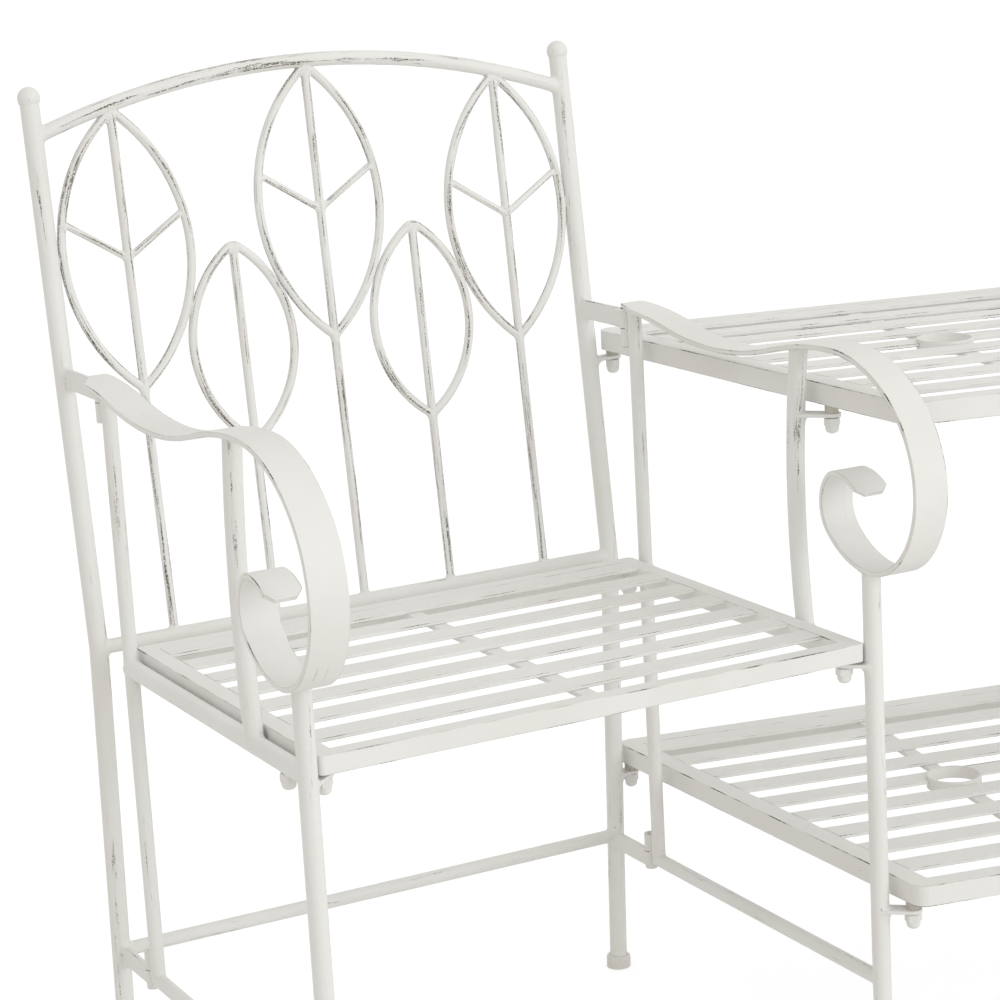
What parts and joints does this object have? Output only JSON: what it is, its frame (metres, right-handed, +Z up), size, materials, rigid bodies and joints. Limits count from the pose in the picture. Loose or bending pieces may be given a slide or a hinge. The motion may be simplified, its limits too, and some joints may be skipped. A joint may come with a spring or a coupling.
{
  "type": "companion seat",
  "caption": "Garden companion seat in painted steel: scroll-arm chairs with leaf backs, turned inwards and joined by a slatted tiered table with parasol rings.",
  "frame": {"origin": "centre of the bounding box, on the floor", "axes": "+X across both chairs, in their mirror direction; front towards -Y; +Z up"},
  "size_m": [1.5894, 0.6898, 0.9374],
  "materials": {
    "tube_paint": "distressed off-white paint on round steel tube",
    "bar_paint": "distressed off-white paint on flat steel bar",
    "fastener_paint": "off-white paint on steel fixings",
    "foot_plastic": "off-white moulded foot caps"
  },
  "bodies": {
    "root": {"ball_finials": "tube_paint", "domed_nuts": "fastener_paint", "foot_caps": "foot_plastic", "hinge_knuckles": "tube_paint", "hinge_pins": "fastener_paint", "left_arm_supports": "tube_paint", "left_back_top_rail": "tube_paint", "left_hinge_straps": "bar_paint", "left_inner_armrest": "bar_paint", "left_inner_back_post": "tube_paint", "left_inner_front_leg": "tube_paint", "left_leaf_stems": "tube_paint", "left_leaf_veins": "tube_paint", "left_outer_armrest": "bar_paint", "left_outer_back_post": "tube_paint", "left_outer_front_leg": "tube_paint", "left_rear_seat_rail": "tube_paint", "left_rear_stretcher": "tube_paint", "left_rear_uprights": "tube_paint", "left_seat_brace": "bar_paint", "left_seat_frame": "bar_paint", "left_seat_side_rails": "tube_paint", "left_seat_slats": "bar_paint", "left_short_leaves": "tube_paint", "left_side_stretchers": "tube_paint", "left_tall_leaves": "tube_paint", "panel_brackets": "tube_paint", "panel_studs": "fastener_paint", "right_arm_supports": "tube_paint", "right_back_top_rail": "tube_paint", "right_hinge_straps": "bar_paint", "right_inner_armrest": "bar_paint", "right_inner_back_post": "tube_paint", "right_inner_front_leg": "tube_paint", "right_leaf_stems": "tube_paint", "right_leaf_veins": "tube_paint", "right_outer_armrest": "bar_paint", "right_outer_back_post": "tube_paint", "right_outer_front_leg": "tube_paint", "right_rear_seat_rail": "tube_paint", "right_rear_stretcher": "tube_paint", "right_rear_uprights": "tube_paint", "right_seat_brace": "bar_paint", "right_seat_frame": "bar_paint", "right_seat_side_rails": "tube_paint", "right_seat_slats": "bar_paint", "right_short_leaves": "tube_paint", "right_side_stretchers": "tube_paint", "right_tall_leaves": "tube_paint", "shelf_brace": "bar_paint", "shelf_frame": "bar_paint", "shelf_ring": "tube_paint", "shelf_slats": "bar_paint", "stud_spacers": "fastener_paint", "table_top_brace": "bar_paint", "table_top_frame": "bar_paint", "table_top_ring": "tube_paint", "table_top_slats": "bar_paint"}
  },
  "joints": []
}
